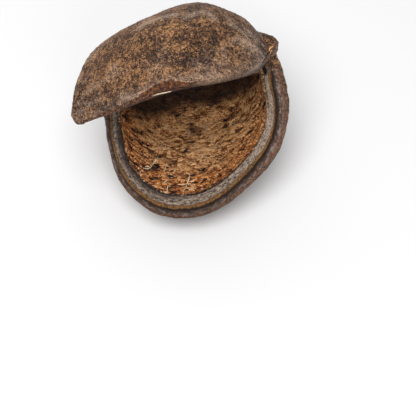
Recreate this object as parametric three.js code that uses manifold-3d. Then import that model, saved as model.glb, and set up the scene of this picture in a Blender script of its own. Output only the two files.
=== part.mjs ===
// An opened woody seed pod: one hollow case, grown in one piece, split along its front seam.
// The front valve is a bowl, the back valve stands over it as a lid, and they meet at the stalk and the beak.
// Units are millimetres. The case is drawn with the rim of its bowl level, +X to the stalk, +Y to the back
// and +Z up out of the bowl, and is then tipped forward on its keel, as it lies when it is put down.
import * as THREE from 'three';
import { ParametricGeometry } from 'three/addons/geometries/ParametricGeometry.js';
import { mergeVertices } from 'three/addons/utils/BufferGeometryUtils.js';
import Module from 'manifold-3d';

// Driving sizes of the case
const halfWidth = 52;
const reach = 61;
const lidRise = 62;
const bowlDepth = 45;
const tipForward = 30;
const flatCut = 0.9;

// Wall between the skin and the cavity, with more wood at both ends
const wallMiddle = 9.5;
const frontRimAtStalk = 14.8;
const frontRimAtBeak = 11.8;
const backRim = 8;
const wallAtStalk = 5;
const wallAtBeak = 3;

// Ridges of the lining
const ridgeCount = 7;
const ridgeHeight = 0.6;
const ridgeWave = 0.5;

// Stub of the stalk, broad where it grows from the case and blunt at its end
const stalkRadius = 5.6;
const stalkLength = 9;
const stalkRoot = 6;
const stalkAim = [0.97, -0.16, 0.1];
const stalkFoot = [0.73, 0.61, 0.19];
const stalkKnobs = 0.1;

// Fineness of the faces
const stations = 56;
const skinSteps = 40;
const liningSteps = 26;

// A point given in shares of the driving sizes: x of halfWidth, y of reach, z of lidRise above the rim
// and of bowlDepth below it.
function place([x, y, z]) {
  const height = z > 0 ? z * lidRise : z * bowlDepth;
  return new THREE.Vector3(x * halfWidth, y * reach, height);
}

const stalkEnd = [0.86, 0.58, 0.16];
const beakEnd = [-1.36, -0.06, 0.34];

// The beak is solid wood: the hollow closes in a dome, from these shares of the length to this point
const hollowEndFront = 0.915;
const hollowEndBack = 0.86;
const hollowTip = [-1.02, 0.04, 0.29];

// Middle of the hollow, which the wall is measured towards
const middleAtStalk = [0.42, 0.12, 0.22];
const middleAtBeak = [-0.56, 0.12, 0.22];

// Lengthwise lines of the skin, each from the stalk to the beak
function lengthwise(points) {
  const line = [stalkEnd, ...points, beakEnd].map(place);
  return new THREE.CatmullRomCurve3(line, false, 'centripetal');
}

const skinLines = [
  // Front lip, the outer edge of the bowl
  lengthwise([
    [0.95, 0.4, 0.08], [1.035, 0.04, 0.02], [0.94, -0.35, 0], [0.585, -0.72, 0], [0.08, -0.985, 0],
    [-0.43, -0.97, 0], [-0.82, -0.69, 0], [-0.985, -0.3, 0.02], [-1.02, -0.06, 0.08],
    [-1.08, 0.02, 0.15], [-1.18, 0.02, 0.21], [-1.28, -0.06, 0.27],
  ]),
  // Belly of the bowl
  lengthwise([
    [0.92, 0.44, -0.04], [0.97, 0.06, -0.2], [0.64, -0.54, -0.24], [0, -0.83, -0.24],
    [-0.6, -0.69, -0.22], [-0.92, -0.22, -0.15], [-1.1, 0.06, 0.06], [-1.3, 0, 0.22],
  ]),
  // Keel, where the bowl is deepest
  lengthwise([
    [0.8, 0.5, -0.2], [0.66, 0.2, -0.78], [0.02, -0.04, -1.08], [-0.5, -0.04, -0.94],
    [-0.95, 0.08, -0.32], [-1.31, 0.03, 0.24],
  ]),
  // Low back
  lengthwise([
    [0.76, 0.66, -0.1], [0.56, 0.64, -0.58], [0.02, 0.6, -0.98], [-0.54, 0.48, -0.78],
    [-1.04, 0.24, -0.14], [-1.32, 0.06, 0.28],
  ]),
  // Back
  lengthwise([
    [0.68, 0.7, 0.2], [0.45, 0.89, 0.2], [0.08, 1, 0.26], [-0.31, 0.915, 0.28],
    [-0.82, 0.73, 0.3], [-1.18, 0.48, 0.32], [-1.29, 0.22, 0.33], [-1.33, 0.06, 0.35],
  ]),
  // Crown of the lid
  lengthwise([
    [0.7, 0.62, 0.42], [0.4, 0.755, 0.65], [0, 0.775, 0.785], [-0.44, 0.675, 0.775],
    [-0.94, 0.43, 0.63], [-1.25, 0.16, 0.47], [-1.32, 0, 0.41],
  ]),
  // Back lip, the edge of the lid
  lengthwise([
    [0.78, 0.46, 0.34], [0.62, 0.35, 0.62], [0.28, 0.24, 0.9], [-0.04, 0.18, 1], [-0.3, 0.12, 0.98],
    [-0.64, 0.03, 0.86], [-0.98, -0.07, 0.64], [-1.2, -0.14, 0.46], [-1.29, -0.14, 0.4],
  ]),
];

// Profile of the lips: share of the way from skin to cavity, and height in millimetres over the cut edge.
// From the skin: rounded outer bead, groove, thin raised line, and the pale band that slopes to the cavity.
const lipProfile = [
  [0.02, 0.9], [0.08, 1.9], [0.2, 2.6], [0.32, 2.2], [0.4, 0.9], [0.45, 0.6], [0.5, 1.7], [0.58, 1.8],
  [0.64, 1], [0.8, 0.5], [0.96, 0],
];
const backLipHeight = 0.6;
const backLipLean = 1.6;

// The lines of the profile lie nearer to the skin at the beak and nearer to the cavity at the stalk
const spreadAlong = 0.9;
const evenSpreadAt = 0.42;

// The edge of the lid curls back in one short wave and shows its cut face there
const waveAlong = 0.57;
const waveWidth = 0.07;
const waveRise = 3.2;

const smooth = THREE.MathUtils.smoothstep;

// Bell of height 1 about a middle value
function bell(value, middle, width) {
  return Math.exp(-(((value - middle) / width) ** 2));
}

// Middle of the hollow at a station
function hollowMiddle(along) {
  return place(middleAtStalk).lerp(place(middleAtBeak), smooth(along, 0.1, 0.9));
}

// Lengthwise swellings of the skin: place round the case, half width, and height in millimetres.
// Below nothing they are furrows.
const ribsAtStalk = [[0.62, 0.03, 1.5], [0.7, 0.03, -1.2], [0.78, 0.03, 1.2], [0.87, 0.025, 0.9]];
const ribsAtBeak = [[0.66, 0.035, 1.1], [0.75, 0.03, -0.9], [0.84, 0.03, 1], [0.91, 0.02, -0.6]];
const ribsOfLid = [[0.84, 0.035, 0.8], [0.94, 0.03, -1.2]];
const lumpHeight = 0.8;
const lumpTurn = 0.12;

function ribHeight(ribs, around) {
  return ribs.reduce((sum, [middle, width, height]) => sum + height * bell(around, middle, width), 0);
}

// Height of the skin's relief, in millimetres outwards
function skinRelief(along, around, point) {
  const atStalk = smooth(along, 0.01, 0.08) * (1 - smooth(along, 0.12, 0.4));
  const atBeak = smooth(along, 0.62, 0.86) * (1 - smooth(along, 0.93, 0.99));
  const onLid = smooth(along, 0.16, 0.34) * (1 - smooth(along, 0.58, 0.8));
  const ribs = atStalk * ribHeight(ribsAtStalk, around) + atBeak * ribHeight(ribsAtBeak, around)
    + onLid * ribHeight(ribsOfLid, around);
  const waves = ['x', 'y', 'z'].map((axis, turn) => Math.sin(point[axis] * lumpTurn + turn));
  return ribs + lumpHeight * awayFromEnds(along) * waves[0] * waves[1] * waves[2];
}

// Skin of the case: along runs from stalk to beak, around from the front lip under the keel to the back lip
const sections = new Map();
function skinPoint(along, around) {
  if (!sections.has(along)) {
    const ring = skinLines.map((line) => line.getPointAt(along));
    sections.set(along, new THREE.CatmullRomCurve3(ring, false, 'centripetal'));
  }
  if (along < 1e-6 || along > 1 - 1e-6) {
    return sections.get(along).points[0].clone();
  }
  const point = sections.get(along).getPointAt(around);
  point.y += waveRise * bell(along, waveAlong, waveWidth) * smooth(around, 0.9, 1);
  return point;
}

// 1 along the case and 0 at both of its ends
function awayFromEnds(along, stalkSide = 0.1, beakSide = 0.86) {
  return smooth(along, 0, stalkSide) * (1 - smooth(along, beakSide, 1));
}

// Wall thickness towards the middle of the hollow
function wallAt(along, around) {
  const nearFront = 1 - smooth(around, 0, 0.16);
  const nearBack = smooth(around, 0.84, 1);
  const frontRim = THREE.MathUtils.lerp(frontRimAtStalk, frontRimAtBeak, smooth(along, 0.15, 0.85));
  const extra = nearFront * (frontRim - wallMiddle) + nearBack * (backRim - wallMiddle);
  const stalkWood = wallAtStalk * (1 - smooth(along, 0, 0.16));
  const beakWood = wallAtBeak * smooth(along, 0.6, hollowEndBack) * smooth(around, 0, 0.3);
  return wallMiddle + extra * smooth(along, 0, 0.16) + stalkWood + beakWood;
}

// Waved ridges of the lining, which run round the hollow alongside the lips
function liningRelief(along, around) {
  const wave = ridgeWave * (Math.sin(along * 9 + 1) + 0.7 * Math.sin(along * 21));
  const awayFromLips = smooth(around, 0.03, 0.12) * (1 - smooth(around, 0.88, 0.97));
  const ridges = Math.sin(around * ridgeCount * 2 * Math.PI + wave);
  return ridgeHeight * ridges * awayFromLips * awayFromEnds(along);
}

function liningPoint(along, around) {
  const hollowEnd = THREE.MathUtils.lerp(hollowEndFront, hollowEndBack, smooth(around, 0, 0.5));
  if (along > hollowEnd) {
    const turn = (Math.PI / 2) * (along - hollowEnd) / (1 - hollowEnd);
    const rim = liningPoint(hollowEnd, around);
    const tip = place(hollowTip);
    const side = 1 - Math.cos(turn);
    return new THREE.Vector3(
      THREE.MathUtils.lerp(rim.x, tip.x, Math.sin(turn)),
      THREE.MathUtils.lerp(rim.y, tip.y, side),
      THREE.MathUtils.lerp(rim.z, tip.z, side),
    );
  }
  const skin = skinPoint(along, around);
  const inward = hollowMiddle(along).sub(skin);
  const depth = wallAt(along, around) + liningRelief(along, around);
  return skin.add(inward.setLength(Math.min(depth, 0.8 * inward.length())));
}

// Point of a lip's profile, between the skin edge and the cavity edge. The outer bead is widest at the stalk.
function lipPoint(along, around, share, height) {
  const front = around < 0.5;
  const skin = skinPoint(along, around);
  const lining = liningPoint(along, around);
  const inside = skinPoint(along, front ? around + 0.02 : around - 0.02);
  const facing = skin.clone().sub(inside);
  const openStretch = smooth(along, 0.02, 0.14) * (1 - smooth(along, 0.76, 0.93));
  const lean = share * (backLipLean * smooth(along, 0.1, 0.5) + waveRise * bell(along, waveAlong, waveWidth));
  const proud = front ? height : backLipHeight * height + lean;
  facing.setLength(Math.max(proud, 0.01) * openStretch);
  const spread = 1 + awayFromEnds(along) * spreadAlong * (smooth(along, 0.1, 0.9) - evenSpreadAt);
  return skin.lerp(lining, share ** spread).add(facing);
}

// One trip round the wall's section: skin, back lip, lining, front lip
const trip = [];
for (let step = 0; step <= skinSteps; step += 1) {
  trip.push({ part: 'skin', around: step / skinSteps });
}
lipProfile.forEach(([share, height]) => trip.push({ part: 'lip', around: 1, share, height }));
for (let step = liningSteps; step >= 0; step -= 1) {
  trip.push({ part: 'lining', around: step / liningSteps });
}
[...lipProfile].reverse().forEach(([share, height]) => trip.push({ part: 'lip', around: 0, share, height }));

function wallPoint(along, stop) {
  const { part, around, share, height } = stop;
  if (part === 'lip') {
    return lipPoint(along, around, share, height);
  }
  if (part === 'lining') {
    return liningPoint(along, around);
  }
  const point = skinPoint(along, around);
  const middle = hollowMiddle(along);
  const outward = point.clone().sub(middle).setLength(skinRelief(along, around, point));
  return point.add(outward);
}

// Closed geometry with shared corners and no collapsed faces
function welded(geometry) {
  geometry.deleteAttribute('normal');
  geometry.deleteAttribute('uv');
  const merged = mergeVertices(geometry, 1e-3);
  const corners = merged.index.array;
  const kept = [];
  for (let i = 0; i < corners.length; i += 3) {
    const [a, b, c] = [corners[i], corners[i + 1], corners[i + 2]];
    if (a !== b && b !== c && c !== a) {
      kept.push(a, b, c);
    }
  }
  merged.setIndex(kept);
  return merged;
}

// Splits each four-sided face of a parametric surface along its shorter diagonal
function splitShort(geometry) {
  const spots = geometry.attributes.position;
  const at = (index) => new THREE.Vector3().fromBufferAttribute(spots, index);
  const corners = geometry.index.array;
  for (let i = 0; i < corners.length; i += 6) {
    const [a, b, d, , c] = corners.slice(i, i + 6);
    if (at(a).distanceTo(at(c)) < at(b).distanceTo(at(d))) {
      corners.set([a, b, c, a, c, d], i);
    }
  }
  return geometry;
}

function caseGeometry() {
  const shell = new ParametricGeometry((u, v, target) => {
    const stop = trip[Math.round(u * trip.length) % trip.length];
    target.copy(wallPoint(1 - v, stop));
  }, trip.length, stations);
  return welded(splitShort(shell));
}

const wasm = await Module();
wasm.setup();

function solid(geometry) {
  const vertProperties = new Float32Array(geometry.attributes.position.array);
  const triVerts = new Uint32Array(geometry.index.array);
  return new wasm.Manifold(new wasm.Mesh({ numProp: 3, vertProperties, triVerts }));
}

function geometryOf(manifold) {
  const mesh = manifold.getMesh();
  const geometry = new THREE.BufferGeometry();
  geometry.setAttribute('position', new THREE.BufferAttribute(mesh.vertProperties, 3));
  geometry.setIndex(new THREE.BufferAttribute(mesh.triVerts, 1));
  return geometry;
}

// Stub of the stalk: a short knobbly peg, its outline in shares of the radius and of the length from its foot
function stalkGeometry() {
  const outline = [
    [0, -1], [1.05, -1], [1.15, -0.5], [1.12, 0], [1.06, 0.35], [1.02, 0.6], [0.92, 0.78],
    [0.7, 0.92], [0.36, 0.99], [0, 1],
  ];
  const points = outline.map(([radius, height]) => {
    const length = height > 0 ? stalkLength : stalkRoot;
    return new THREE.Vector2(radius * stalkRadius, height * length);
  });
  const peg = welded(new THREE.LatheGeometry(points, 20));
  const spots = peg.attributes.position;
  for (let i = 0; i < spots.count; i += 1) {
    const angle = Math.atan2(spots.getZ(i), spots.getX(i));
    const twist = spots.getY(i) / stalkLength;
    const swell = 1 + stalkKnobs * (Math.sin(3 * angle + 0.5) + 0.6 * Math.sin(5 * angle + 3 * twist));
    spots.setX(i, spots.getX(i) * swell);
    spots.setZ(i, spots.getZ(i) * swell);
  }
  const direction = new THREE.Vector3(...stalkAim).normalize();
  const turn = new THREE.Quaternion().setFromUnitVectors(new THREE.Vector3(0, 1, 0), direction);
  const foot = place(stalkFoot);
  return peg.applyQuaternion(turn).translate(foot.x, foot.y, foot.z);
}

function podGeometry() {
  const whole = solid(caseGeometry()).add(solid(stalkGeometry()));
  const laid = geometryOf(whole);
  laid.rotateX(THREE.MathUtils.degToRad(tipForward));
  laid.computeBoundingBox();
  const low = laid.boundingBox.min;
  const high = laid.boundingBox.max;
  laid.translate(-(low.x + high.x) / 2, -(low.y + high.y) / 2, -low.z - flatCut);
  const ground = welded(new THREE.BoxGeometry(4 * reach, 4 * reach, 2 * reach)).translate(0, 0, -reach);
  return geometryOf(solid(laid).subtract(solid(ground)));
}

const bark = new THREE.MeshStandardMaterial({ color: 0x4a3628, roughness: 0.8, metalness: 0 });
const pod = new THREE.Mesh(podGeometry(), bark);
pod.name = 'pod';

const group = new THREE.Group();
group.add(pod);
export default group;
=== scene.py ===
import math

import bpy
import bmesh
import numpy as np
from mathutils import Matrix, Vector, noise
from mathutils.bvhtree import BVHTree
from mathutils.kdtree import KDTree


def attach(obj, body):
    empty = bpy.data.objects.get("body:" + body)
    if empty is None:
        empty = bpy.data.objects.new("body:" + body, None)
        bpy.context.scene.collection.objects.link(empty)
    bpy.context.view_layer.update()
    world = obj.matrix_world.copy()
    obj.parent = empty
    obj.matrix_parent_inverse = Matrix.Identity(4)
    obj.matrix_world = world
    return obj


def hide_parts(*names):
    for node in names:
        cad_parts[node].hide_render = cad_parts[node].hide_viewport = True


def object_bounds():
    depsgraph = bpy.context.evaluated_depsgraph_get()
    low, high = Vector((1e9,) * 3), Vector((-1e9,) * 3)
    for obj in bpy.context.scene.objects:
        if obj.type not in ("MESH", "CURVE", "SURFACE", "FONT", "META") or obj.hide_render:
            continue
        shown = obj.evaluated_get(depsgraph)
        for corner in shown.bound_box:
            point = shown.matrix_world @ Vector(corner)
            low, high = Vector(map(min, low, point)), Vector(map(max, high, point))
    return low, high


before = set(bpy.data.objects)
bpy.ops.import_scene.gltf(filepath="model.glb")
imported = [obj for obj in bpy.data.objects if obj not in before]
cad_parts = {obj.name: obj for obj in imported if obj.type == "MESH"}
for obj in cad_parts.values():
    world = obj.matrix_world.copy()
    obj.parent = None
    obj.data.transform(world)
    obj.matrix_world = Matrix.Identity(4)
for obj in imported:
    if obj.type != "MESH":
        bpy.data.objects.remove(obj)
cadLow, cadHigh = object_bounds()
scene = bpy.context.scene
mm = 0.001
print("frame loaded")


# camera, floor and lights

view = {
    "elevation": 60.0,  # degrees above the floor
    "distance": 0.8,
    "widthSeen": 0.2384,  # at the target
    "target": (0.01516, -0.05388, 0.02422),
    "sensor": 36,  # millimetres
    "pictureSide": 416,  # pixels
}


def setCamera():
    tilt = math.radians(view["elevation"])
    back = Vector((0, -math.cos(tilt), math.sin(tilt)))
    data = bpy.data.cameras.new("photoCamera")
    data.sensor_width = view["sensor"]
    data.lens = view["sensor"] * view["distance"] / view["widthSeen"]
    camera = bpy.data.objects.new("photoCamera", data)
    scene.collection.objects.link(camera)
    camera.location = Vector(view["target"]) + back * view["distance"]
    camera.rotation_euler = (-back).to_track_quat("-Z", "Y").to_euler()
    scene.camera = camera
    return camera


camera = setCamera()

studio = {
    "floorColour": (0.785, 0.785, 0.79),
    "floorSize": 3,
    "skyStrength": 0.42,
    "aim": (0, 0, 0.05),
    "key": {"place": (-0.14, -0.26, 0.95), "size": 0.75, "power": 7.7},
    "fill": {"place": (0.2, -0.75, 0.6), "size": 0.5, "power": 1.4},
    "back": {"place": (-0.1, 0.7, 0.65), "size": 1.4, "power": 3.2},
}


def softLight(name, place, size, power):
    data = bpy.data.lights.new(name, "AREA")
    data.shape = "DISK"
    data.size = size
    data.energy = power
    light = bpy.data.objects.new(name, data)
    scene.collection.objects.link(light)
    light.location = place
    aim = Vector(studio["aim"]) - Vector(place)
    light.rotation_euler = aim.to_track_quat("-Z", "Y").to_euler()


def setStudio():
    softLight("keyLight", **studio["key"])
    softLight("fillLight", **studio["fill"])
    softLight("backLight", **studio["back"])
    world = bpy.data.worlds.new("studioSky")
    scene.world = world
    world.use_nodes = True
    sky = world.node_tree.nodes["Background"]
    sky.inputs["Color"].default_value = (1, 1, 1, 1)
    sky.inputs["Strength"].default_value = studio["skyStrength"]
    scene.view_settings.view_transform = "Standard"

    bm = bmesh.new()
    bmesh.ops.create_grid(bm, x_segments=1, y_segments=1, size=studio["floorSize"])
    mesh = bpy.data.meshes.new("studioFloor")
    bm.to_mesh(mesh)
    bm.free()
    floor = bpy.data.objects.new("studioFloor", mesh)
    scene.collection.objects.link(floor)
    paper = bpy.data.materials.new("paper")
    paper.use_nodes = True
    shader = paper.node_tree.nodes["Principled BSDF"]
    shader.inputs["Base Color"].default_value = (*studio["floorColour"], 1)
    shader.inputs["Roughness"].default_value = 0.9
    shader.inputs["Specular IOR Level"].default_value = 0.1
    mesh.materials.append(paper)


setStudio()
print("camera and studio set")


# the two lips of the mouth, as the CAD source draws them

# lengths in millimetres; a point's x, y and z are shares of halfWidth, reach and lidRise or bowlDepth
mouth = {
    "halfWidth": 52, "reach": 61, "lidRise": 62, "bowlDepth": 45,
    "tipForward": 30,  # degrees
    "shift": (8.403, -0.509, 43.806),
    "stalkEnd": (0.86, 0.58, 0.16),
    "beakEnd": (-1.36, -0.06, 0.34),
    "frontLip": [
        (0.95, 0.4, 0.08), (1.035, 0.04, 0.02), (0.94, -0.35, 0), (0.585, -0.72, 0), (0.08, -0.985, 0),
        (-0.43, -0.97, 0), (-0.82, -0.69, 0), (-0.985, -0.3, 0.02), (-1.02, -0.06, 0.08),
        (-1.08, 0.02, 0.15), (-1.18, 0.02, 0.21), (-1.28, -0.06, 0.27),
    ],
    "backLip": [
        (0.78, 0.46, 0.34), (0.62, 0.35, 0.62), (0.28, 0.24, 0.9), (-0.04, 0.18, 1), (-0.3, 0.12, 0.98),
        (-0.64, 0.03, 0.86), (-0.98, -0.07, 0.64), (-1.2, -0.14, 0.46), (-1.29, -0.14, 0.4),
    ],
    "wallMiddle": 9.5, "frontRimAtStalk": 14.8, "frontRimAtBeak": 11.8, "backRim": 8,
    "wallAtStalk": 5, "wallAtBeak": 3,
    "hollowEnd": {"frontLip": 0.915, "backLip": 0.86}, "hollowTip": (-1.02, 0.04, 0.29),
    "hollowX": (0.42, -0.56), "hollowY": 0.12, "hollowZ": 0.22,  # the middle line of the hollow
    "waveAlong": 0.57, "waveWidth": 0.07, "waveRise": 3.2,
    "outOfWood": {"frontLip": (0, -0.3, 0.9), "backLip": (0, -0.9, -0.3)},
    "stub": ((0.64, 0.63, 0.17), (0.9, 0.586, 0.205)), "stubRadius": 7.2,
    "ridgeAxis": ((0.8, 0.5, 0.2), (-1.1, 0.02, 0.3)),  # from the stalk to the beak
    "stations": 897, "sourceStations": 56,
}


def smoothStep(value, low, high):
    t = np.clip((value - low) / (high - low), 0, 1)
    return t * t * (3 - 2 * t)


def bell(value, middle, width):
    return np.exp(-(((value - middle) / width) ** 2))


def between(low, high, share):
    return low + (high - low) * share


def drawn(point):
    x, y, z = point
    rise = mouth["lidRise"] if z > 0 else mouth["bowlDepth"]
    return np.array((x * mouth["halfWidth"], y * mouth["reach"], z * rise), float)


def toPod(points):
    # from the drawing, with its rim level, to the frame that the pod rests in, in metres
    turn = math.radians(mouth["tipForward"])
    c, s = math.cos(turn), math.sin(turn)
    turned = points @ np.array(((1, 0, 0), (0, c, s), (0, -s, c)))
    return (turned + np.array(mouth["shift"])) * mm


def smoothLine(points, count):
    # a centripetal curve through the points, evenly spaced
    p = [2 * points[0] - points[1], *points, 2 * points[-1] - points[-2]]
    fine = []
    for a, b, c, d in zip(p, p[1:], p[2:], p[3:]):
        ab, bc, cd = (np.linalg.norm(v) ** 0.5 for v in (b - a, c - b, d - c))
        start = ((b - a) / ab - (c - a) / (ab + bc) + (c - b) / bc) * bc
        end = ((c - b) / bc - (d - b) / (bc + cd) + (d - c) / cd) * bc
        for t in np.linspace(0, 1, 60, endpoint=False):
            h = 2 * t**3 - 3 * t**2 + 1
            fine.append(h * b + (t**3 - 2 * t**2 + t) * start + (1 - h) * c + (t**3 - t**2) * end)
    fine = np.array([*fine, points[-1]])
    steps = np.r_[0, np.cumsum(np.linalg.norm(np.diff(fine, axis=0), axis=1))]
    wanted = np.linspace(0, steps[-1], count)
    return np.stack([np.interp(wanted, steps, fine[:, k]) for k in range(3)], 1)


def treeOf(points):
    tree = KDTree(len(points))
    for k, point in enumerate(points):
        tree.insert(Vector(point), k)
    tree.balance()
    return tree


def podPoint(point):
    return toPod(np.array([drawn(point)]))[0]


def hollowMiddle(along):
    x = between(*mouth["hollowX"], smoothStep(along, 0.1, 0.9)) * mouth["halfWidth"]
    y = np.full_like(x, mouth["hollowY"] * mouth["reach"])
    z = np.full_like(x, mouth["hollowZ"] * mouth["lidRise"])
    return np.stack([x, y, z], 1)


def wallAt(along, front):
    # how thick the wall is at the lip
    frontRim = between(mouth["frontRimAtStalk"], mouth["frontRimAtBeak"], smoothStep(along, 0.15, 0.85))
    rim = frontRim if front else np.full_like(along, mouth["backRim"])
    opened = smoothStep(along, 0, 0.16)
    wall = mouth["wallMiddle"] + (rim - mouth["wallMiddle"]) * opened + mouth["wallAtStalk"] * (1 - opened)
    if not front:
        wall += mouth["wallAtBeak"] * smoothStep(along, 0.6, 0.86)
    return wall


def roundedEnd(inner, along, end):
    # past that share of the lip its inner edge curves in to the tip of the hollow
    turn = np.clip((along - end) / (1 - end), 0, 1) * math.pi / 2
    last, tip = inner[along <= end][-1], drawn(mouth["hollowTip"])
    shares = (np.sin(turn), 1 - np.cos(turn), 1 - np.cos(turn))
    dome = np.stack([between(last[k], tip[k], share) for k, share in enumerate(shares)], 1)
    return np.where((along > end)[:, None], dome, inner)


def lipOf(name):
    front = name == "frontLip"
    ends = [mouth["stalkEnd"], *mouth[name], mouth["beakEnd"]]
    outer = smoothLine([drawn(p) for p in ends], mouth["stations"])
    along = np.linspace(0, 1, mouth["stations"])
    if not front:
        outer[:, 1] += mouth["waveRise"] * bell(along, mouth["waveAlong"], mouth["waveWidth"])
    inward = hollowMiddle(along) - outer
    inner = outer + inward / np.linalg.norm(inward, axis=1)[:, None] * wallAt(along, front)[:, None]
    inner = roundedEnd(inner, along, mouth["hollowEnd"][name])
    outer, inner = toPod(outer), toPod(inner)
    tangent = np.gradient(outer, axis=0)
    up = np.cross(tangent, inner - outer)
    up /= np.linalg.norm(up, axis=1)[:, None]
    up *= np.where(up @ np.array(mouth["outOfWood"][name]) > 0, 1, -1)[:, None]
    steps = np.r_[0, np.cumsum(np.linalg.norm(np.diff(outer, axis=0), axis=1))]
    stack = [outer + (inner - outer) * share for share in (0.1, 0.5, 0.9)]
    # the bead takes more of the lip by the stalk, and the band more of it by the beak
    away = smoothStep(along, 0, 0.1) * (1 - smoothStep(along, 0.86, 1))
    spread = 1 + away * 0.9 * (smoothStep(along, 0.1, 0.9) - 0.42)
    return {
        "outer": outer, "inner": inner, "up": up, "along": along, "steps": steps, "spread": spread,
        "tree": treeOf(np.concatenate(stack)), "innerTree": treeOf(inner), "outerTree": treeOf(outer),
    }


lips = {"front": lipOf("frontLip"), "back": lipOf("backLip")}
stalkTip = podPoint(mouth["stub"][1])
beakTip = podPoint(mouth["beakEnd"])
stubFoot, stubEnd = (np.array(end) for end in mouth["stub"])
stubLine = toPod(np.array([drawn(between(stubFoot, stubEnd, t)) for t in (0, 0.5, 1)]))
middleTree = treeOf(toPod(hollowMiddle(np.linspace(0, 1, 200))))

# where a place counts as on a lip; shares go from its outer edge to its inner one
lipLimits = {
    "off": 4.5 * mm,
    "shares": (-0.03, 1.03),
    "overWood": (0.04, 0.97),  # the lip's own grooves count there
    "groove": -1.6 * mm,
    "edgeGroove": -0.12 * mm,
    "along": (0.04, 0.93),
    "farOutside": 12 * mm,
}


def within(values, limits):
    return (values > limits[0]) & (values < limits[1])


def towardsMiddle(points):
    # the way from each point to the middle line of the hollow
    return np.array([middleTree.find(Vector(p))[0] for p in points]) - points


def placeByLip(points, lip):
    station = np.array([lip["tree"].find(Vector(p))[1] % len(lip["outer"]) for p in points])
    a, b, up = lip["outer"][station], lip["inner"][station], lip["up"][station]
    wide = b - a
    share = ((points - a) * wide).sum(1) / (wide * wide).sum(1)
    foot = a + wide * np.clip(share, 0, 1)[:, None]
    return {
        "share": share,
        "above": ((points - a) * up).sum(1),
        "off": np.linalg.norm(points - foot, axis=1),
        "toOuter": np.array([lip["outerTree"].find(Vector(p))[2] for p in points]),
        "toInner": np.array([lip["innerTree"].find(Vector(p))[2] for p in points]),
        "profile": np.clip(share, 1e-4, 1) ** (1 / lip["spread"][station]),
        "along": lip["along"][station],
        "reach": lip["steps"][station],
    }


def isOnLip(place, toStub):
    near = (place["off"] < lipLimits["off"]) & within(place["share"], lipLimits["shares"])
    near &= toStub > mouth["stubRadius"] * mm
    overWood = within(place["share"], lipLimits["overWood"]) & (place["above"] > lipLimits["groove"])
    onTop = overWood | (place["above"] > lipLimits["edgeGroove"])
    return near & onTop & within(place["along"], lipLimits["along"])


def placeOnAxis(points):
    # how far along the axis of the ridges, how far off it and how far round it
    start, end = (podPoint(spot) for spot in mouth["ridgeAxis"])
    axis = (end - start) / np.linalg.norm(end - start)
    offset = points - start
    lengthwise = offset @ axis
    radial = offset - lengthwise[:, None] * axis
    level = np.cross(axis, (0, 0, 1))
    level /= np.linalg.norm(level)
    upright = np.cross(level, axis)
    return {
        "turn": np.arctan2(radial @ upright, radial @ level),
        "radius": np.linalg.norm(radial, axis=1),
        "lengthwise": lengthwise,
    }


def placeOnPod(points, normals):
    # for every point: which surface it is on, how far across the lip, how far along it and round the axis
    front, back = (placeByLip(points, lips[name]) for name in ("front", "back"))
    toStub = np.min([np.linalg.norm(points - spot, axis=1) for spot in stubLine], axis=0)
    nearFront = front["off"] < back["off"]
    onFront, onBack = isOnLip(front, toStub), isOnLip(back, toStub)
    onBack &= ~(onFront & nearFront)
    onFront &= ~onBack
    onRim = onFront | onBack
    side = {k: np.where(onFront | (~onBack & nearFront), front[k], back[k]) for k in front}
    inside = (towardsMiddle(points) * normals).sum(1) > 0
    inside &= (side["toInner"] < side["toOuter"]) | (side["toOuter"] > lipLimits["farOutside"])
    # 0 to 1 on the lip, and past it the centimetres to its nearer edge
    across = np.where(inside, 1 + side["toInner"] * 100, -side["toOuter"] * 100)
    across = np.where(onRim, np.clip(side["profile"], 0.001, 0.999), across)
    return {
        "across": across,
        "onLid": np.where(onBack, 1.0, 0.0),
        "onRim": onRim,
        "inside": inside & ~onRim,
        "onSkin": ~(onRim | inside),
        "along": side["along"],
        "reach": side["reach"],
        "toInner": np.minimum(front["toInner"], back["toInner"]),
        "toFrontLip": front["toInner"],
        "toBackLip": back["toOuter"],
        **placeOnAxis(points),
    }


def grain(points, size, seed, layers=1):
    # smooth noise between about -1 and 1 with features of that size
    shift = Vector((seed * 3.17, seed * 7.31, seed * 1.93))
    scaled = points / size
    if layers == 1:
        return np.array([noise.noise(Vector(p) + shift) for p in scaled])
    return np.array([noise.fractal(Vector(p) + shift, 0.8, 2.1, layers) for p in scaled])


def fannedRidges(where, spacing, length, seed):
    # noise drawn out from stalk to beak, with new ridges between the others where they spread apart
    leastRadius = 1.5 * mm
    level = np.log2(np.maximum(where["radius"], leastRadius) / spacing)
    lower = np.floor(level)
    share = smoothStep(level - lower, 0.15, 0.85)
    total = np.zeros(len(level))
    for step, weight in ((0, 1 - share), (1, share)):
        each = lower + step
        turned = where["turn"] * 2.0**each
        spots = np.stack([turned, where["lengthwise"] / length, each * 5.7 + seed], 1)
        total += weight * np.array([noise.noise(Vector(p)) for p in spots])
    return total


def pointsOf(mesh):
    points = np.empty(len(mesh.vertices) * 3)
    normals = np.empty(len(mesh.vertices) * 3)
    mesh.vertices.foreach_get("co", points)
    mesh.vertex_normals.foreach_get("vector", normals)
    return points.reshape(-1, 3), normals.reshape(-1, 3)


def keepNumbers(mesh, numbers):
    for name, values in numbers.items():
        attribute = mesh.attributes.new(name, "FLOAT", "POINT")
        attribute.data.foreach_set("value", np.asarray(values, np.float32))


def setPoints(mesh, points):
    # nothing grows out of the CAD's box
    spare = 2e-5
    low, high = np.array(cadLow) + spare, np.array(cadHigh) - spare
    low[2] = cadLow[2]
    mesh.vertices.foreach_set("co", np.clip(points, low, high).astype(np.float32).ravel())
    mesh.update()


def fromBmesh(bm, name):
    mesh = bpy.data.meshes.new(name)
    bm.to_mesh(mesh)
    bm.free()
    piece = bpy.data.objects.new(name, mesh)
    scene.collection.objects.link(piece)
    return piece


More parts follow.
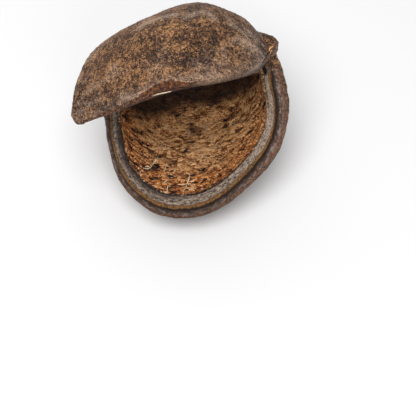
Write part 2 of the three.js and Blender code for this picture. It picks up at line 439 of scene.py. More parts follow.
def subdivided(piece, levels):
    modifier = piece.modifiers.new("rounding", "SUBSURF")
    modifier.levels = levels
    modifier.render_levels = levels
    shown = piece.evaluated_get(bpy.context.evaluated_depsgraph_get())
    mesh = bpy.data.meshes.new_from_object(shown)
    piece.modifiers.remove(modifier)
    piece.data = mesh
    for face in mesh.polygons:
        face.use_smooth = True
    return mesh


def mergedPod():
    # a copy of the CAD solid, whose triangles are loose, with its corners joined
    bm = bmesh.new()
    bm.from_mesh(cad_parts["pod"].data)
    bmesh.ops.remove_doubles(bm, verts=bm.verts, dist=2e-6)
    return bm


def inFours(bm):
    # pairs of triangles become faces with four sides
    flat, square = math.radians(60), math.radians(80)
    bmesh.ops.join_triangles(bm, faces=bm.faces, angle_face_threshold=flat, angle_shape_threshold=square)
    bm.normal_update()
    return bm


def treeOfFaces(mesh):
    corners = [tuple(face.vertices) for face in mesh.polygons]
    return BVHTree.FromPolygons([v.co.copy() for v in mesh.vertices], corners)


def seenAt(x, y, carrier):
    # the point of that surface which the camera sees at a pixel of the picture
    width = view["widthSeen"] / view["distance"] / view["pictureSide"]
    middle = view["pictureSide"] / 2
    way = camera.rotation_euler.to_matrix() @ Vector(((x - middle) * width, (middle - y) * width, -1))
    return carrier.ray_cast(camera.location, way)[0:2]


def nearLines(points, lines, carrier):
    # each line's strength along it, falling away over its half width
    pixelsApart = 1.5
    total = np.zeros(len(points))
    for strength, halfWidth, *spots in lines:
        for (x0, y0), (x1, y1) in zip(spots, spots[1:]):
            steps = max(2, round(math.hypot(x1 - x0, y1 - y0) / pixelsApart))
            for t in np.linspace(0, 1, steps):
                spot = seenAt(between(x0, x1, t), between(y0, y1, t), carrier)[0]
                if spot is not None:
                    off = np.linalg.norm(points - np.array(spot), axis=1)
                    total = np.maximum(total, strength * bell(off, 0, halfWidth * mm))
    return total


# shell: bark, both lips and the wall behind the lining

# strength, half width in millimetres, then the places it passes in the picture
marks = {
    # pale marks: painted highlight and painted sheen on the creases by the stalk, along the lid's top and
    # on its margin, partly pale scuffs as well
    "pale": [
        (1.0, 1.1, (236, 38), (244, 42), (252, 46), (258, 51), (262, 57)),
        (1.0, 1.5, (263, 57), (260, 63), (256, 68), (248, 73)),
        (0.8, 0.9, (263, 46), (252, 38), (240, 30), (226, 18)),
        (0.6, 0.9, (256, 44), (246, 38), (238, 30), (228, 24)),
        (0.5, 0.9, (260, 53), (250, 50), (240, 44), (230, 40)),
        (0.8, 2.4, (140, 27), (152, 21), (164, 17), (175, 15)),
        (0.6, 2.4, (186, 17), (196, 13), (206, 12), (214, 18)),
        (0.5, 2.5, (122, 97), (136, 98), (148, 92)),
        (0.4, 2.5, (160, 86), (185, 82), (215, 76)),
        (0.8, 0.7, (82, 98), (83, 92)),
        (0.45, 0.8, (78, 104), (84, 96), (93, 88), (106, 80)),
        (0.45, 0.8, (80, 112), (92, 104), (104, 98)),
    ],
    # dark marks: painted shade in the shallow hollows they press into the lid and in the crack by the
    # stalk, partly dark patches of the bark as well
    "dark": [
        (0.75, 4.5, (150, 52), (165, 58), (182, 60), (196, 54)),
        (0.6, 5.0, (196, 50), (206, 58), (212, 48)),
        (0.7, 0.9, (190, 12), (193, 19)),
        (0.7, 0.8, (203, 14), (209, 20)),
        (0.7, 1.1, (264, 49), (254, 42), (246, 34), (234, 24)),
        (1.0, 1.1, (269, 52), (266, 56), (263, 61), (261, 66)),
        (0.6, 0.9, (80, 108), (87, 100), (98, 92)),
        (0.6, 0.9, (78, 98), (82, 88), (90, 78)),
    ],
    "gold": [
        (0.8, 6.0, (88, 88), (97, 75), (110, 64), (124, 56)),
        (1.0, 2.2, (148, 73), (164, 70), (182, 68)),
        (0.7, 3.5, (82, 108), (92, 112)),
        (0.7, 3.5, (194, 36), (204, 31)),
        (0.9, 1.8, (220, 52), (226, 57)),
        (0.7, 3.0, (230, 76), (242, 71)),
        (0.7, 3.0, (160, 30), (180, 26)),
        (0.8, 2.4, (264, 40), (270, 44)),
    ],
}

shell = {
    "swell": (9 * mm, 0.30 * mm),  # size and height of each kind of relief
    "pits": (2.4 * mm, 0.28 * mm),
    "grit": (1.2 * mm, 0.16 * mm),
    "creases": (3.4 * mm, 0.7 * mm),
    "knob": (3.0 * mm, 0.55 * mm),
    "rimDents": (4.5 * mm, 0.25 * mm),
    "bandStreaks": (5.0 * mm, 0.28 * mm),
    "creaseLength": 11 * mm,
    "byStalk": (6 * mm, 16 * mm, 26 * mm, 52 * mm),  # off its tip: the creases start, are full, fade, end
    "byBeak": (2 * mm, 9 * mm, 20 * mm, 38 * mm),
    "knobEnd": (6 * mm, 11 * mm),
    "markHeight": 0.6 * mm,
    "beadTo": 0.42,  # shares of the way across the front lip
    "bandFrom": 0.62,
    "underLining": 0.9 * mm,
    "liningEdge": 1.5 * mm,
}


def belt(distance, start, full, fade, end):
    return smoothStep(distance, start, full) * (1 - smoothStep(distance, fade, end))


def relief(kind, points, seed, layers=1):
    size, rise = shell[kind]
    return rise * grain(points, size, seed, layers)


def creasesOn(where, toStalk, toBeak):
    fans = 1 - 2.4 * np.abs(fannedRidges(where, shell["creases"][0], shell["creaseLength"], 3))
    ends = 0.9 * belt(toStalk, *shell["byStalk"]) + 0.8 * belt(toBeak, *shell["byBeak"])
    return np.clip(fans, -0.6, 1) * ends * where["onSkin"]


def barkHeight(points, where, creases, toStalk):
    skin, rim = where["onSkin"], where["onRim"]
    height = relief("swell", points, 1) * skin
    height += relief("pits", points, 2, 2) * np.where(skin, 1, 0.25 * rim)
    height += relief("grit", points, 3) * np.where(skin, 1, 0.6 * rim)
    height += shell["creases"][1] * creases
    height += relief("knob", points, 4, 2) * (1 - smoothStep(toStalk, *shell["knobEnd"])) * skin
    return height


def rimHeight(points, where):
    onFront = where["onRim"] & (where["onLid"] < 0.5)
    bead = onFront & (where["across"] < shell["beadTo"])
    band = onFront & (where["across"] >= shell["bandFrom"])
    size, rise = shell["bandStreaks"]
    spots = np.stack([where["reach"] / size, where["across"] * 9, np.zeros(len(points))], 1)
    streaks = np.array([noise.noise(Vector(p)) for p in spots])
    return relief("rimDents", points, 5, 2) * bead + rise * streaks * band


def makeShell():
    piece = fromBmesh(inFours(mergedPod()), "podShell")
    mesh = subdivided(piece, 2)
    points, normals = pointsOf(mesh)
    carrier = treeOfFaces(mesh)
    pale, dark, gold = (nearLines(points, marks[kind], carrier) for kind in ("pale", "dark", "gold"))
    where = placeOnPod(points, normals)
    toStalk = np.linalg.norm(points - stalkTip, axis=1)
    toBeak = np.linalg.norm(points - beakTip, axis=1)
    creases = creasesOn(where, toStalk, toBeak)
    height = barkHeight(points, where, creases, toStalk)
    height += shell["markHeight"] * (pale - dark) * where["onSkin"]
    height += rimHeight(points, where)
    edge = smoothStep(where["toInner"], 0, shell["liningEdge"])
    height -= shell["underLining"] * edge * where["inside"]
    setPoints(mesh, points + normals * height[:, None])
    keepNumbers(mesh, {
        "across": where["across"],
        "onLid": where["onLid"],
        "along": where["along"],
        "reach": where["reach"] / mm,
        "toLidEdge": where["toBackLip"] / mm,
        "crease": np.clip(creases, -1, 1),
        "pale": pale,
        "dark": dark,
        "gold": gold,
    })
    print("shell made,", len(mesh.polygons), "faces")
    return piece


podShell = makeShell()


# lining: a ribbed fibrous layer over the whole hollow

lining = {
    "floorSpot": (0.0, 0.0, 0.012),
    "thickness": 1.8 * mm,
    "extraCuts": 2,  # in each edge that runs from lip to lip, before the sheet is rounded
    "coarseFrom": 17 * mm,  # no extra cuts deeper under the lid than that
    "lidSlope": 0.62,  # how fast the lid's edge runs forward on its way to the beak
    "ridgeSpacing": 1.25 * mm,
    "ridgeLength": 3.4 * mm,
    "ridgeHeight": 0.9 * mm,
    "broadRidges": (2.3, 3),  # times the spacing and the length of the fine ones
    "foldShares": (1.5, 0.7),  # of the fine and the broad ridges
    "steepWall": (16 * mm, 34 * mm),  # off the front lip, where the ridges get lower
    "calmEdge": (0.6 * mm, 2.4 * mm),  # off both lips, where all the relief sets in
    "crinkle": (1.5 * mm, 0.35 * mm),
    "lumps": (7 * mm, 0.5 * mm),
    # as for the shell: a dark pit with a pale fleck beside it, a slit, folds by the left wall; the dark
    # marks are painted shade in the pits, the slit and the folds that they press in
    "dark": [
        (1.0, 1.2, (191, 129), (193, 131)),
        (1.0, 1.2, (195, 132), (197, 134)),
        (1.0, 1.1, (184, 152), (187, 149)),
        (0.7, 1.4, (150, 166), (156, 169)),
        (0.7, 1.0, (145, 129), (152, 133)),
        (0.7, 1.0, (136, 110), (143, 119)),
        (0.5, 2.4, (192, 126), (200, 131)),
    ],
    "pale": [
        (1.0, 1.0, (189, 131), (190, 135)),
        (0.9, 1.1, (204, 126), (206, 131)),
        (0.6, 1.8, (164, 126), (167, 129)),
        (0.5, 1.6, (196, 152), (203, 150)),
        (0.5, 1.4, (205, 156), (209, 158)),
        (0.5, 1.4, (212, 142), (214, 147)),
    ],
}


def acrossEdges(bm):
    # an edge opposite a lengthwise one in its face is lengthwise too; the others run from lip to lip
    lengthwise = {e for e in bm.edges if e.is_boundary}
    waiting = list(lengthwise)
    while waiting:
        edge = waiting.pop()
        for face in edge.link_faces:
            if len(face.verts) != 4:
                continue
            loop = next(l for l in face.loops if l.edge is edge)
            other = loop.link_loop_next.link_loop_next.edge
            if other not in lengthwise:
                lengthwise.add(other)
                waiting.append(other)
    return [e for e in bm.edges if e not in lengthwise and any(len(f.verts) == 4 for f in e.link_faces)]


def liningSheet():
    # the faces inside the loop of cavity edges, reached from the floor of the hollow
    bm = mergedPod()
    bm.verts.ensure_lookup_table()
    tree = treeOf([v.co for v in bm.verts])
    edgeRing = set()
    for lip in lips.values():
        for spot in np.linspace(0, mouth["stations"] - 1, mouth["sourceStations"] + 1):
            edgeRing.add(tree.find(Vector(lip["inner"][round(spot)]))[1])
    start = min(bm.verts, key=lambda v: (v.co - Vector(lining["floorSpot"])).length)
    reached, waiting = {start.index}, [start]
    while waiting:
        for edge in waiting.pop().link_edges:
            for vertex in edge.verts:
                if vertex.index not in reached:
                    reached.add(vertex.index)
                    if vertex.index not in edgeRing:
                        waiting.append(vertex)
    outside = [f for f in bm.faces if not all(v.index in reached for v in f.verts)]
    bmesh.ops.delete(bm, geom=outside, context="FACES")
    return inFours(bm)


def underLid(x, y):
    # how deep under the lid a place lies, in the picture's view
    return y - lining["lidSlope"] * np.minimum(x, 0)


def liningBlock():
    # the sheet with its thickness, and with more cuts where it shows
    bm = liningSheet()
    print("lining sheet cut out,", len(bm.faces), "faces")
    middles = {e: (e.verts[0].co + e.verts[1].co) / 2 for e in acrossEdges(bm)}
    edges = [e for e, middle in middles.items() if underLid(middle.x, middle.y) < lining["coarseFrom"]]
    outward = {v: v.normal.copy() for v in bm.verts}
    grown = bmesh.ops.extrude_face_region(bm, geom=bm.faces[:], use_keep_orig=True)["geom"]
    hidden = [g for g in grown if isinstance(g, bmesh.types.BMVert)]
    bm.normal_update()
    for vertex in hidden:
        near = min(outward, key=lambda v: (v.co - vertex.co).length_squared)
        vertex.co -= outward[near] * lining["thickness"]
    bmesh.ops.subdivide_edges(bm, edges=edges, cuts=lining["extraCuts"], use_grid_fill=True)
    bmesh.ops.recalc_face_normals(bm, faces=bm.faces)
    return bm


def makeLining():
    piece = fromBmesh(liningBlock(), "podLining")
    mesh = subdivided(piece, 2)
    points, normals = pointsOf(mesh)
    where = placeOnPod(points, normals)
    inward = towardsMiddle(points)
    shown = smoothStep((inward * normals).sum(1) / np.linalg.norm(inward, axis=1), 0.0, 0.3)
    fromEdge = smoothStep(where["toInner"], *lining["calmEdge"]) * shown

    spacing, length = lining["ridgeSpacing"], lining["ridgeLength"]
    ridges = fannedRidges(where, spacing, length, 11)
    wider, longer = lining["broadRidges"]
    broad = fannedRidges(where, wider * spacing, longer * length, 23)
    steep = 1 - smoothStep(where["toFrontLip"], *lining["steepWall"])
    carrier = treeOfFaces(mesh)
    pale, dark = (nearLines(points, lining[kind], carrier) for kind in ("pale", "dark"))
    fineShare, broadShare = lining["foldShares"]
    folds = fineShare * ridges + broadShare * broad
    lift = np.clip(folds, -0.9, 0.7) - 0.35 - 0.6 * dark + 0.3 * pale
    height = lining["ridgeHeight"] * (0.6 + 0.4 * steep) * lift
    size, rise = lining["crinkle"]
    crinkle = grain(points, size, 12, 2)
    height += rise * crinkle
    size, rise = lining["lumps"]
    height += rise * grain(points, size, 13, 2)
    setPoints(mesh, points + normals * (height * fromEdge)[:, None])
    keepNumbers(mesh, {
        "crest": np.clip(0.5 + 0.5 * folds + 0.25 * crinkle + 0.3 * pale - 0.6 * dark, 0.2, 1),
        "fromFrontLip": where["toFrontLip"] / mm,
        "fromLid": where["toBackLip"] / mm,
        "toStalk": np.linalg.norm(points - stalkTip, axis=1) / mm,
        "underLid": underLid(points[:, 0], points[:, 1]) / mm,
        "pale": pale,
        "dark": dark,
    })
    print("lining made,", len(mesh.polygons), "faces")
    return piece


podLining = makeLining()


# fibres: torn shreds on the lining, at the stalk and under the wave of the lid

# half width in millimetres, then the places each passes in the picture
shreds = {
    "onLining": [
        (0.42, (158, 157), (156, 160), (153, 164), (150, 168)),
        (0.3, (150, 168), (148, 166), (145, 167)), (0.3, (150, 168), (147, 169), (143, 168)),
        (0.34, (176, 168), (174, 172), (171, 175)), (0.3, (167, 163), (165, 169), (164, 172)),
        (0.36, (168, 177), (166, 181), (164, 183)), (0.3, (168, 185), (167, 190), (168, 194)),
        (0.4, (190, 173), (189, 178), (188, 182), (186, 187), (183, 192)),
        (0.3, (187, 183), (191, 185), (195, 185)), (0.28, (187, 184), (182, 185), (178, 184)),
        (0.28, (186, 187), (190, 190), (194, 190)), (0.3, (183, 192), (184, 196)),
        (0.3, (140, 171), (141, 175), (140, 178)), (0.28, (160, 188), (164, 189)),
        (0.3, (166, 144), (165, 148), (163, 150)), (0.3, (126, 147), (126, 152)),
        (0.28, (150, 148), (154, 150)), (0.26, (198, 160), (203, 157)), (0.26, (212, 168), (218, 163)),
    ],
    "onShell": [
        (0.36, (152, 96), (158, 94), (165, 92.5), (171, 91.2)),
    ],
    "atStalk": [
        (0.55, (273, 46), (270.5, 48), (268.5, 51)), (0.35, (271.5, 50), (270.5, 52), (270, 54)),
        (0.6, (269.5, 50), (268.4, 51.4)),
    ],
}


shredShape = {
    "lift": 0.15,  # of the half width, so that a shred is sunk in what carries it
    "thinnest": 0.35,
    "roughness": (0.9 * mm, 0.1 * mm),  # size and height
}


def shredLine(name, width, found):
    # a tapered strand through the places that were found
    line = bpy.data.curves.new(name, "CURVE")
    line.dimensions = "3D"
    line.bevel_depth = width * mm
    line.bevel_resolution = 2
    line.resolution_u = 6
    line.use_fill_caps = True
    spline = line.splines.new("NURBS")
    spline.use_endpoint_u = True
    spline.order_u = 3
    spline.points.add(len(found) - 1)
    thinnest = shredShape["thinnest"]
    for k, (spot, normal) in enumerate(found):
        share = k / (len(found) - 1)
        spline.points[k].co = (*(spot + normal * shredShape["lift"] * width * mm), 1)
        spline.points[k].radius = thinnest + (1 - thinnest) * math.sin(math.pi * (0.15 + 0.7 * share))
    return line


def layShreds(name, kinds):
    whole = bmesh.new()
    for kind, carrier in kinds:
        for width, *spots in shreds[kind]:
            line = shredLine(name, width, [seenAt(x, y, carrier) for x, y in spots])
            bent = bpy.data.objects.new(name, line)
            whole.from_mesh(bpy.data.meshes.new_from_object(bent))
            bpy.data.objects.remove(bent)
    bmesh.ops.remove_doubles(whole, verts=whole.verts, dist=1e-6)
    piece = fromBmesh(whole, name)
    points, normals = pointsOf(piece.data)
    size, rise = shredShape["roughness"]
    setPoints(piece.data, points + normals * (rise * grain(points, size, 31))[:, None])
    for face in piece.data.polygons:
        face.use_smooth = True
    print(name, "laid,", len(piece.data.polygons), "faces")
    return piece


onLining, onShell = treeOfFaces(podLining.data), treeOfFaces(podShell.data)
podFibres = layShreds("podFibres", [("onLining", onLining), ("onShell", onShell)])
stalkFibres = layShreds("stalkFibres", [("atStalk", onShell)])


# materials

def linear(colour):
    channels = [int(colour[k:k + 2], 16) / 255 for k in (1, 3, 5)]
    return (*[c / 12.92 if c <= 0.04045 else ((c + 0.055) / 1.055) ** 2.4 for c in channels], 1)


class Nodes:
    # short names for the nodes that these finishes use
    def __init__(self, name):
        self.material = bpy.data.materials.new(name)
        self.material.use_nodes = True
        self.tree = self.material.node_tree
        self.shader = self.tree.nodes["Principled BSDF"]
        place = self.tree.nodes.new("ShaderNodeTexCoord")
        scaled = self.tree.nodes.new("ShaderNodeMapping")
        scaled.inputs["Scale"].default_value = (1000, 1000, 1000)  # to millimetres
        self.join(place.outputs["Object"], scaled.inputs["Vector"])
        self.place = scaled.outputs["Vector"]

    def join(self, source, socket):
        if isinstance(source, (int, float, tuple)):
            socket.default_value = source
        else:
            self.tree.links.new(source, socket)

    def number(self, name):
        node = self.tree.nodes.new("ShaderNodeAttribute")
        node.attribute_name = name
        return node.outputs["Fac"]

    def speckle(self, size, detail=2.0, roughness=0.55, distortion=0.0, place=None):
        node = self.tree.nodes.new("ShaderNodeTexNoise")
        self.join(place or self.place, node.inputs["Vector"])
        node.inputs["Scale"].default_value = 1 / size
        node.inputs["Detail"].default_value = detail
        node.inputs["Roughness"].default_value = roughness
        node.inputs["Distortion"].default_value = distortion
        return node.outputs["Fac"]

    def cells(self, size):
        node = self.tree.nodes.new("ShaderNodeTexVoronoi")
        self.join(self.place, node.inputs["Vector"])
        node.inputs["Scale"].default_value = 1 / size
        return node.outputs["Distance"]

    def curve(self, value, low, high, start=0.0, end=1.0):
        # a soft step from start to end while the value goes from low to high
        node = self.tree.nodes.new("ShaderNodeMapRange")
        node.interpolation_type = "SMOOTHSTEP"
        self.join(value, node.inputs["Value"])
        self.join(low, node.inputs["From Min"])
        self.join(high, node.inputs["From Max"])
        self.join(start, node.inputs["To Min"])
        self.join(end, node.inputs["To Max"])
        return node.outputs["Result"]

    def sums(self, kind, first, *others):
        result = first
        for other in others:
            node = self.tree.nodes.new("ShaderNodeMath")
            node.operation = kind
            self.join(result, node.inputs[0])
            self.join(other, node.inputs[1])
            result = node.outputs["Value"]
        return result

    def plus(self, *values):
        return self.sums("ADD", *values)

    def minus(self, *values):
        return self.sums("SUBTRACT", *values)

    def times(self, *values):
        return self.sums("MULTIPLY", *values)

    def most(self, *values):
        return self.sums("MAXIMUM", *values)

    def blend(self, share, a, b, kind="MIX"):
        node = self.tree.nodes.new("ShaderNodeMix")
        node.data_type = "RGBA"
        node.blend_type = kind
        # 0, 6 and 7 are the share and the two colours, and 2 is the colour that comes out
        self.join(share, node.inputs[0])
        self.join(linear(a) if isinstance(a, str) else a, node.inputs[6])
        self.join(linear(b) if isinstance(b, str) else b, node.inputs[7])
        return node.outputs[2]

    def tinted(self, colour, tints):
        # each tint goes over what is there, by its own share
        for share, *tint in tints:
            colour = self.blend(share, colour, *tint)
        return colour

    def stops(self, value, stops):
        node = self.tree.nodes.new("ShaderNodeValToRGB")
        self.join(value, node.inputs["Fac"])
        ramp = node.color_ramp
        while len(ramp.elements) < len(stops):
            ramp.elements.new(0.5)
        for element, (position, colour) in zip(ramp.elements, stops):
            element.position = position
            element.color = linear(colour)
        return node.outputs["Color"]

    def vector(self, x, y, z):
        node = self.tree.nodes.new("ShaderNodeCombineXYZ")
        for socket, given in zip(node.inputs, (x, y, z)):
            self.join(given, socket)
        return node.outputs["Vector"]

    def drawnOut(self, scale):
        # places squeezed along x, so that what is drawn by them runs from stalk to beak
        node = self.tree.nodes.new("ShaderNodeMapping")
        node.inputs["Scale"].default_value = (scale, 1, 1)
        self.join(self.place, node.inputs["Vector"])
        return node.outputs["Vector"]

    def bumps(self, height, depth):
        node = self.tree.nodes.new("ShaderNodeBump")
        self.join(height, node.inputs["Height"])
        node.inputs["Strength"].default_value = 1.0
        node.inputs["Distance"].default_value = depth
        self.join(node.outputs["Normal"], self.shader.inputs["Normal"])


woodTones = {
    "brown": [
        (0.39, "#140c07"), (0.45, "#332117"), (0.495, "#5c3e2b"), (0.54, "#835a3e"), (0.6, "#b98a5a"),
    ],
    # grey tones for the painted sheen on the bark
    "greySheen": [
        (0.37, "#2c1f19"), (0.44, "#544139"), (0.5, "#7b675c"), (0.56, "#9c8779"), (0.64, "#c6b09e"),
    ],
    # across the front lip: bead, greyer on its top as painted sheen, groove, ochre line, grey band, and a
    # dark inner edge that is painted shade
    "rim": [
        (0.0, "#3a2519"), (0.08, "#6d472d"), (0.17, "#705040"), (0.26, "#5d4a43"), (0.35, "#3d2a1f"),
        (0.40, "#20140d"), (0.45, "#2a1a10"), (0.49, "#6e4a27"), (0.56, "#7d562f"), (0.6, "#523923"),
        (0.64, "#ae9a89"), (0.71, "#94806f"), (0.95, "#ab9583"), (0.985, "#241812"),
    ],
    "cut": [(0.4, "#1a0c06"), (0.48, "#40200f"), (0.55, "#653718"), (0.63, "#9a5f30")],
}


def addWoodPatterns(n):
    # the noises and numbers that bark, rim and gloss share
    n.fine = n.speckle(0.75, 3, 0.7)
    n.finer = n.speckle(0.5, 2, 0.6)
    n.rough = n.speckle(1.7, 4, 0.85)
    n.clusters = n.speckle(6.0, 3, 0.65, 0.5)
    n.clouds = n.speckle(18.0, 3, 0.55)
    n.rust = n.speckle(1.5, 3, 0.6, 0.4)
    n.along = n.number("along")
    n.toLidEdge = n.number("toLidEdge")
    n.share = n.number("across")
    n.onRim = n.curve(n.share, -0.004, 0.004)
    sway = n.speckle(2.5, 2, 0.5)
    n.across = n.plus(n.share, n.curve(n.fine, 0, 1, -0.04, 0.04), n.curve(sway, 0, 1, -0.05, 0.05))
    n.beadZone = n.times(n.curve(n.across, 0.38, 0.3), n.curve(n.across, -0.02, 0.02))
    n.bandZone = n.times(n.curve(n.across, 0.6, 0.65), n.curve(n.across, 0.99, 0.95))
    n.streakPlace = n.vector(n.times(n.number("reach"), 0.35), n.times(n.share, 14.0), 0.0)
    n.fibres = n.speckle(1.0, 3, 0.6, 0.5, n.streakPlace)
    # painted sheen: how far the grey tones go over the brown, in loose patches, by the lid's edge, on the
    # crease ridges and on the pale marks
    n.grey = n.most(
        n.curve(n.clouds, 0.52, 0.66, 0, 0.4),
        n.curve(n.toLidEdge, 9.0, 1.0, 0, 0.5),
        n.curve(n.number("crease"), 0.1, 0.8, 0, 0.7),
        n.times(n.number("pale"), 0.75),
    )


def barkColour(n):
    # brown bark and its parts with painted grey sheen are mottled alike
    pale, crease = n.number("pale"), n.number("crease")
    mottle = n.plus(
        n.rough,
        n.curve(n.clouds, 0.38, 0.62, -0.03, 0.03),
        n.curve(n.clusters, 0.36, 0.64, -0.03, 0.025),
    )
    # the dark marks darken the mottle too, as painted shade
    mottle = n.minus(mottle, n.times(n.number("dark"), 0.11))
    bark = n.blend(n.grey, n.stops(mottle, woodTones["brown"]), n.stops(mottle, woodTones["greySheen"]))
    golden = n.most(n.number("gold"), n.curve(n.clusters, 0.46, 0.6, 0.08, 0.9))
    gold = n.times(n.curve(n.fine, 0.52, 0.6), golden)
    grains = n.times(n.curve(n.cells(0.95), 0.34, 0.2), n.curve(golden, 0.1, 0.9, 0.3, 1))
    flecks = n.times(n.curve(n.rust, 0.56, 0.64), n.curve(n.clusters, 0.54, 0.42, 0.1, 1))
    pores = n.times(n.curve(n.cells(1.25), 0.36, 0.2), n.curve(n.clusters, 0.56, 0.42, 0.2, 1))
    return n.tinted(bark, [
        (n.times(gold, 0.6), "#bd8650"),
        (n.times(grains, n.curve(n.finer, 0.47, 0.54)), "#e0ae74"),
        (n.times(flecks, 0.6), "#93592e"),
        # painted highlight and sheen along the pale marks
        (n.times(pale, n.curve(n.finer, 0.46, 0.58, 0.1, 1)), "#d6bba3"),
        # painted shade in the crease hollows
        (n.curve(crease, -0.05, -0.5, 0, 0.75), "#190f0a"),
        (n.curve(n.fine, 0.46, 0.38, 0, 0.85), "#150e0a"),
        (n.times(pores, 0.75), "#120b08"),
    ])


def frontLipColour(n):
    bead, band = n.beadZone, n.bandZone
    outerBead = n.times(bead, n.curve(n.across, 0.24, 0.14))
    line = n.times(n.curve(n.across, 0.43, 0.48), n.curve(n.across, 0.63, 0.59))
    sheen = n.times(n.curve(n.across, 0.13, 0.2), n.curve(n.across, 0.34, 0.26))
    sheen = n.times(sheen, n.curve(n.speckle(1.3, 3, 0.6, 0.3, n.streakPlace), 0.46, 0.58))
    innerShade = n.times(n.curve(n.across, 0.76, 0.94), n.curve(n.along, 0.4, 0.7, 0.1, 0.9))
    return n.tinted(n.stops(n.across, woodTones["rim"]), [
        (n.times(outerBead, n.curve(n.rust, 0.5, 0.58)), "#94613a"),
        (n.times(bead, n.curve(n.rough, 0.51, 0.6, 0, 0.5)), "#96755f"),
        (n.times(sheen, 0.8), "#a3938d"),
        (n.times(bead, n.curve(n.rough, 0.48, 0.41, 0, 0.75)), "#291a12"),
        (n.times(bead, n.curve(n.fine, 0.46, 0.39, 0, 0.8)), "#1f1410"),
        (n.times(line, n.curve(n.rust, 0.5, 0.43, 0, 0.75)), "#33200f"),
        (n.times(line, n.curve(n.finer, 0.53, 0.61, 0, 0.6)), "#b5854c"),
        (n.times(band, n.curve(n.fibres, 0.49, 0.41, 0, 0.9)), "#3a302a"),
        (n.times(band, n.curve(n.fibres, 0.53, 0.61, 0, 0.85)), "#c4b19d"),
        (n.times(band, n.curve(n.along, 0.4, 0.25, 0, 0.4)), "#c2ac96"),
        (n.times(band, n.curve(n.along, 0.5, 0.72), 0.35), "#4d4038"),
        (innerShade, "#1c1410"),
        # painted shade: the bead darker from the bottom of the mouth on towards the beak, where it is
        # under-lit
        (n.times(bead, n.curve(n.along, 0.25, 0.5, 0, 0.4)), "#24170f"),
        (n.times(band, n.curve(n.rust, 0.56, 0.66, 0, 0.5)), "#84604a"),
        (n.times(band, n.curve(n.rough, 0.46, 0.4, 0, 0.6)), "#3a2f29"),
        (n.times(band, n.curve(n.fine, 0.47, 0.39, 0, 0.85)), "#28211f"),
    ])


def lidCutWidth(n):
    # how far the raw edge of the lid shows on its outside, in millimetres
    return n.times(
        n.curve(n.along, 0.47, 0.53, 0, 1.4),
        n.curve(n.along, 0.68, 0.6, 0.45, 1),
        n.curve(n.along, 0.93, 0.84),
    )


def podWood():
    n = Nodes("podWood")
    addWoodPatterns(n)
    bark = barkColour(n)
    cut = n.stops(n.rough, woodTones["cut"])
    lidEdge = n.blend(n.curve(n.across, 0.3, 0.75), cut, "#1f110a")
    lidEdge = n.blend(n.curve(n.along, 0.5, 0.4), lidEdge, n.blend(0.35, bark, "#3a2417"))
    rim = n.blend(n.number("onLid"), frontLipColour(n), lidEdge)
    ragged = n.plus(n.toLidEdge, n.curve(n.rust, 0.2, 0.8, -0.7, 0.7))
    colour = n.tinted(bark, [
        (n.curve(n.minus(ragged, lidCutWidth(n)), 0.2, -0.2), cut),
        (n.onRim, rim),
        # painted shade: the wall behind the lining is near black
        (n.curve(n.share, 1.0, 1.02), "#140c07"),
        # painted shade: the dark marks' hollows and crack go near black
        (n.curve(n.number("dark"), 0.8, 0.96), "#120b07"),
    ])
    n.join(colour, n.shader.inputs["Base Color"])
    dull = n.minus(
        n.curve(n.fine, 0.3, 0.7, 0.72, 0.5),
        n.times(n.grey, 0.1),
        n.times(n.onRim, n.beadZone, 0.26),
    )
    n.join(dull, n.shader.inputs["Roughness"])
    n.shader.inputs["Specular IOR Level"].default_value = 0.32
    n.bumps(n.plus(n.fine, n.rough, n.times(n.finer, 0.6), n.times(n.fibres, n.bandZone)), 0.75 * mm)
    return n.material


liningTones = {
    # dark to pale as the threads rise, as the bumps raise them: partly the fibre's own tones, partly
    # painted shade in the hollows and painted highlight on the tops
    "fibre": [
        (0.395, "#160a03"), (0.433, "#4f2a07"), (0.465, "#965c14"),
        (0.495, "#c4853d"), (0.525, "#e8b47c"), (0.56, "#ffe8ce"),
    ],
    "strip": [(0.4, "#241c17"), (0.48, "#6e5e51"), (0.54, "#9a8876"), (0.6, "#bfab97")],
}


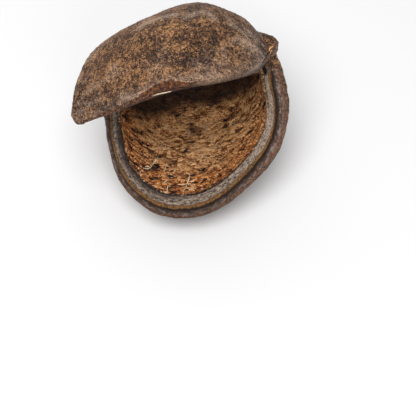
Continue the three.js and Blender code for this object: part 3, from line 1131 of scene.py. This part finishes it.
def liningFibre():
    n = Nodes("liningFibre")
    crest, fromLip = n.number("crest"), n.number("fromFrontLip")
    under, toStalk = n.number("underLid"), n.number("toStalk")
    fine = n.speckle(0.8, 3, 0.65, 0.6)
    patches = n.speckle(4.0, 4, 0.65)
    clouds = n.speckle(13.0, 2, 0.5)
    drawnOut = n.drawnOut(0.36)
    threads = n.speckle(1.15, 3, 0.62, 1.5, drawnOut)
    mixed = n.plus(
        n.times(crest, 0.21),
        n.times(threads, 0.79),
        n.curve(fine, 0.3, 0.7, -0.04, 0.04),
        # painted light: lighter far from the front lip, on the floor of the hollow
        n.curve(fromLip, 12.0, 30.0, 0, 0.022),
    )
    # a grey strip inside the lip by the stalk, and glints where the light reaches
    strip = n.stops(n.speckle(1.3, 4, 0.8), liningTones["strip"])
    byStalk = n.times(n.curve(fromLip, 3.8, 2.8), n.curve(toStalk, 48.0, 36.0))
    glints = n.curve(n.speckle(1.25, 2, 0.6, 1.0, drawnOut), 0.535, 0.6)
    glints = n.times(glints, n.curve(mixed, 0.46, 0.52), n.curve(under, 28.0, 16.0))
    # base colour of the threads, with their painted shade and highlight
    colour = n.tinted(n.stops(mixed, liningTones["fibre"]), [
        (n.curve(patches, 0.5, 0.62, 0, 0.5), "#8c5519"),
        (n.curve(patches, 0.46, 0.38, 0, 0.35), "#4a2a10"),
        # warmer and darker towards the front lip: partly the lining's own orange, partly painted shade on
        # the steep wall
        (n.curve(fromLip, 34.0, 5.0), "#e2c088", "MULTIPLY"),
        # painted shadow of the lid, deeper under it
        (n.curve(under, 19.0, 29.0, 0, 0.93), "#331d0f", "MULTIPLY"),
        # painted shade along the lining's edge against the lip
        (n.curve(fromLip, 2.2, 1.0, 0, 0.85), "#2a190e"),
        # painted shade near the lid's edge, under the lid
        (n.curve(n.number("fromLid"), 30.0, 8.0, 0, 0.85), "#1c0f07"),
        # painted shade in the corner by the stalk, under the lid
        (n.curve(toStalk, 38.0, 20.0, 0, 0.8), "#1c0f07"),
        (n.curve(clouds, 0.58, 0.72, 0, 0.4), "#4d2e16"),
        (byStalk, strip),
        # painted shade in the valleys between the ridges
        (n.curve(crest, 0.36, 0.22, 0, 0.65), "#2b1508"),
        (n.times(glints, 0.9), "#ffead8"),
        (1.0, "#ffdcae", "MULTIPLY"),
        (n.times(n.number("pale"), 0.7), "#d8b48e"),
        # painted shade in the lining's pits, slit and folds
        (n.times(n.number("dark"), 0.85), "#120a06"),
    ])
    n.join(colour, n.shader.inputs["Base Color"])
    n.join(n.curve(mixed, 0.4, 0.55, 0.6, 0.3), n.shader.inputs["Roughness"])
    n.shader.inputs["Specular IOR Level"].default_value = 0.55
    n.bumps(n.plus(n.times(n.curve(threads, 0.38, 0.6), 0.6), n.times(fine, 0.4)), 0.8 * mm)
    return n.material


def shredFinish(name, tone, shade):
    n = Nodes(name)
    colour = n.stops(n.speckle(1.2, 2, 0.5), [(0.4, shade), (0.6, tone)])
    n.join(colour, n.shader.inputs["Base Color"])
    n.shader.inputs["Roughness"].default_value = 0.55
    return n.material


finishes = [
    (podShell, podWood()),
    (podLining, liningFibre()),
    (podFibres, shredFinish("creamShred", "#f2dfc0", "#c9a67c")),
    (stalkFibres, shredFinish("goldShred", "#f2c58a", "#a8682f")),
]
for piece, finish in finishes:
    piece.data.materials.clear()
    piece.data.materials.append(finish)
    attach(piece, "root")
    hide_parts("pod")
print("finishes set")
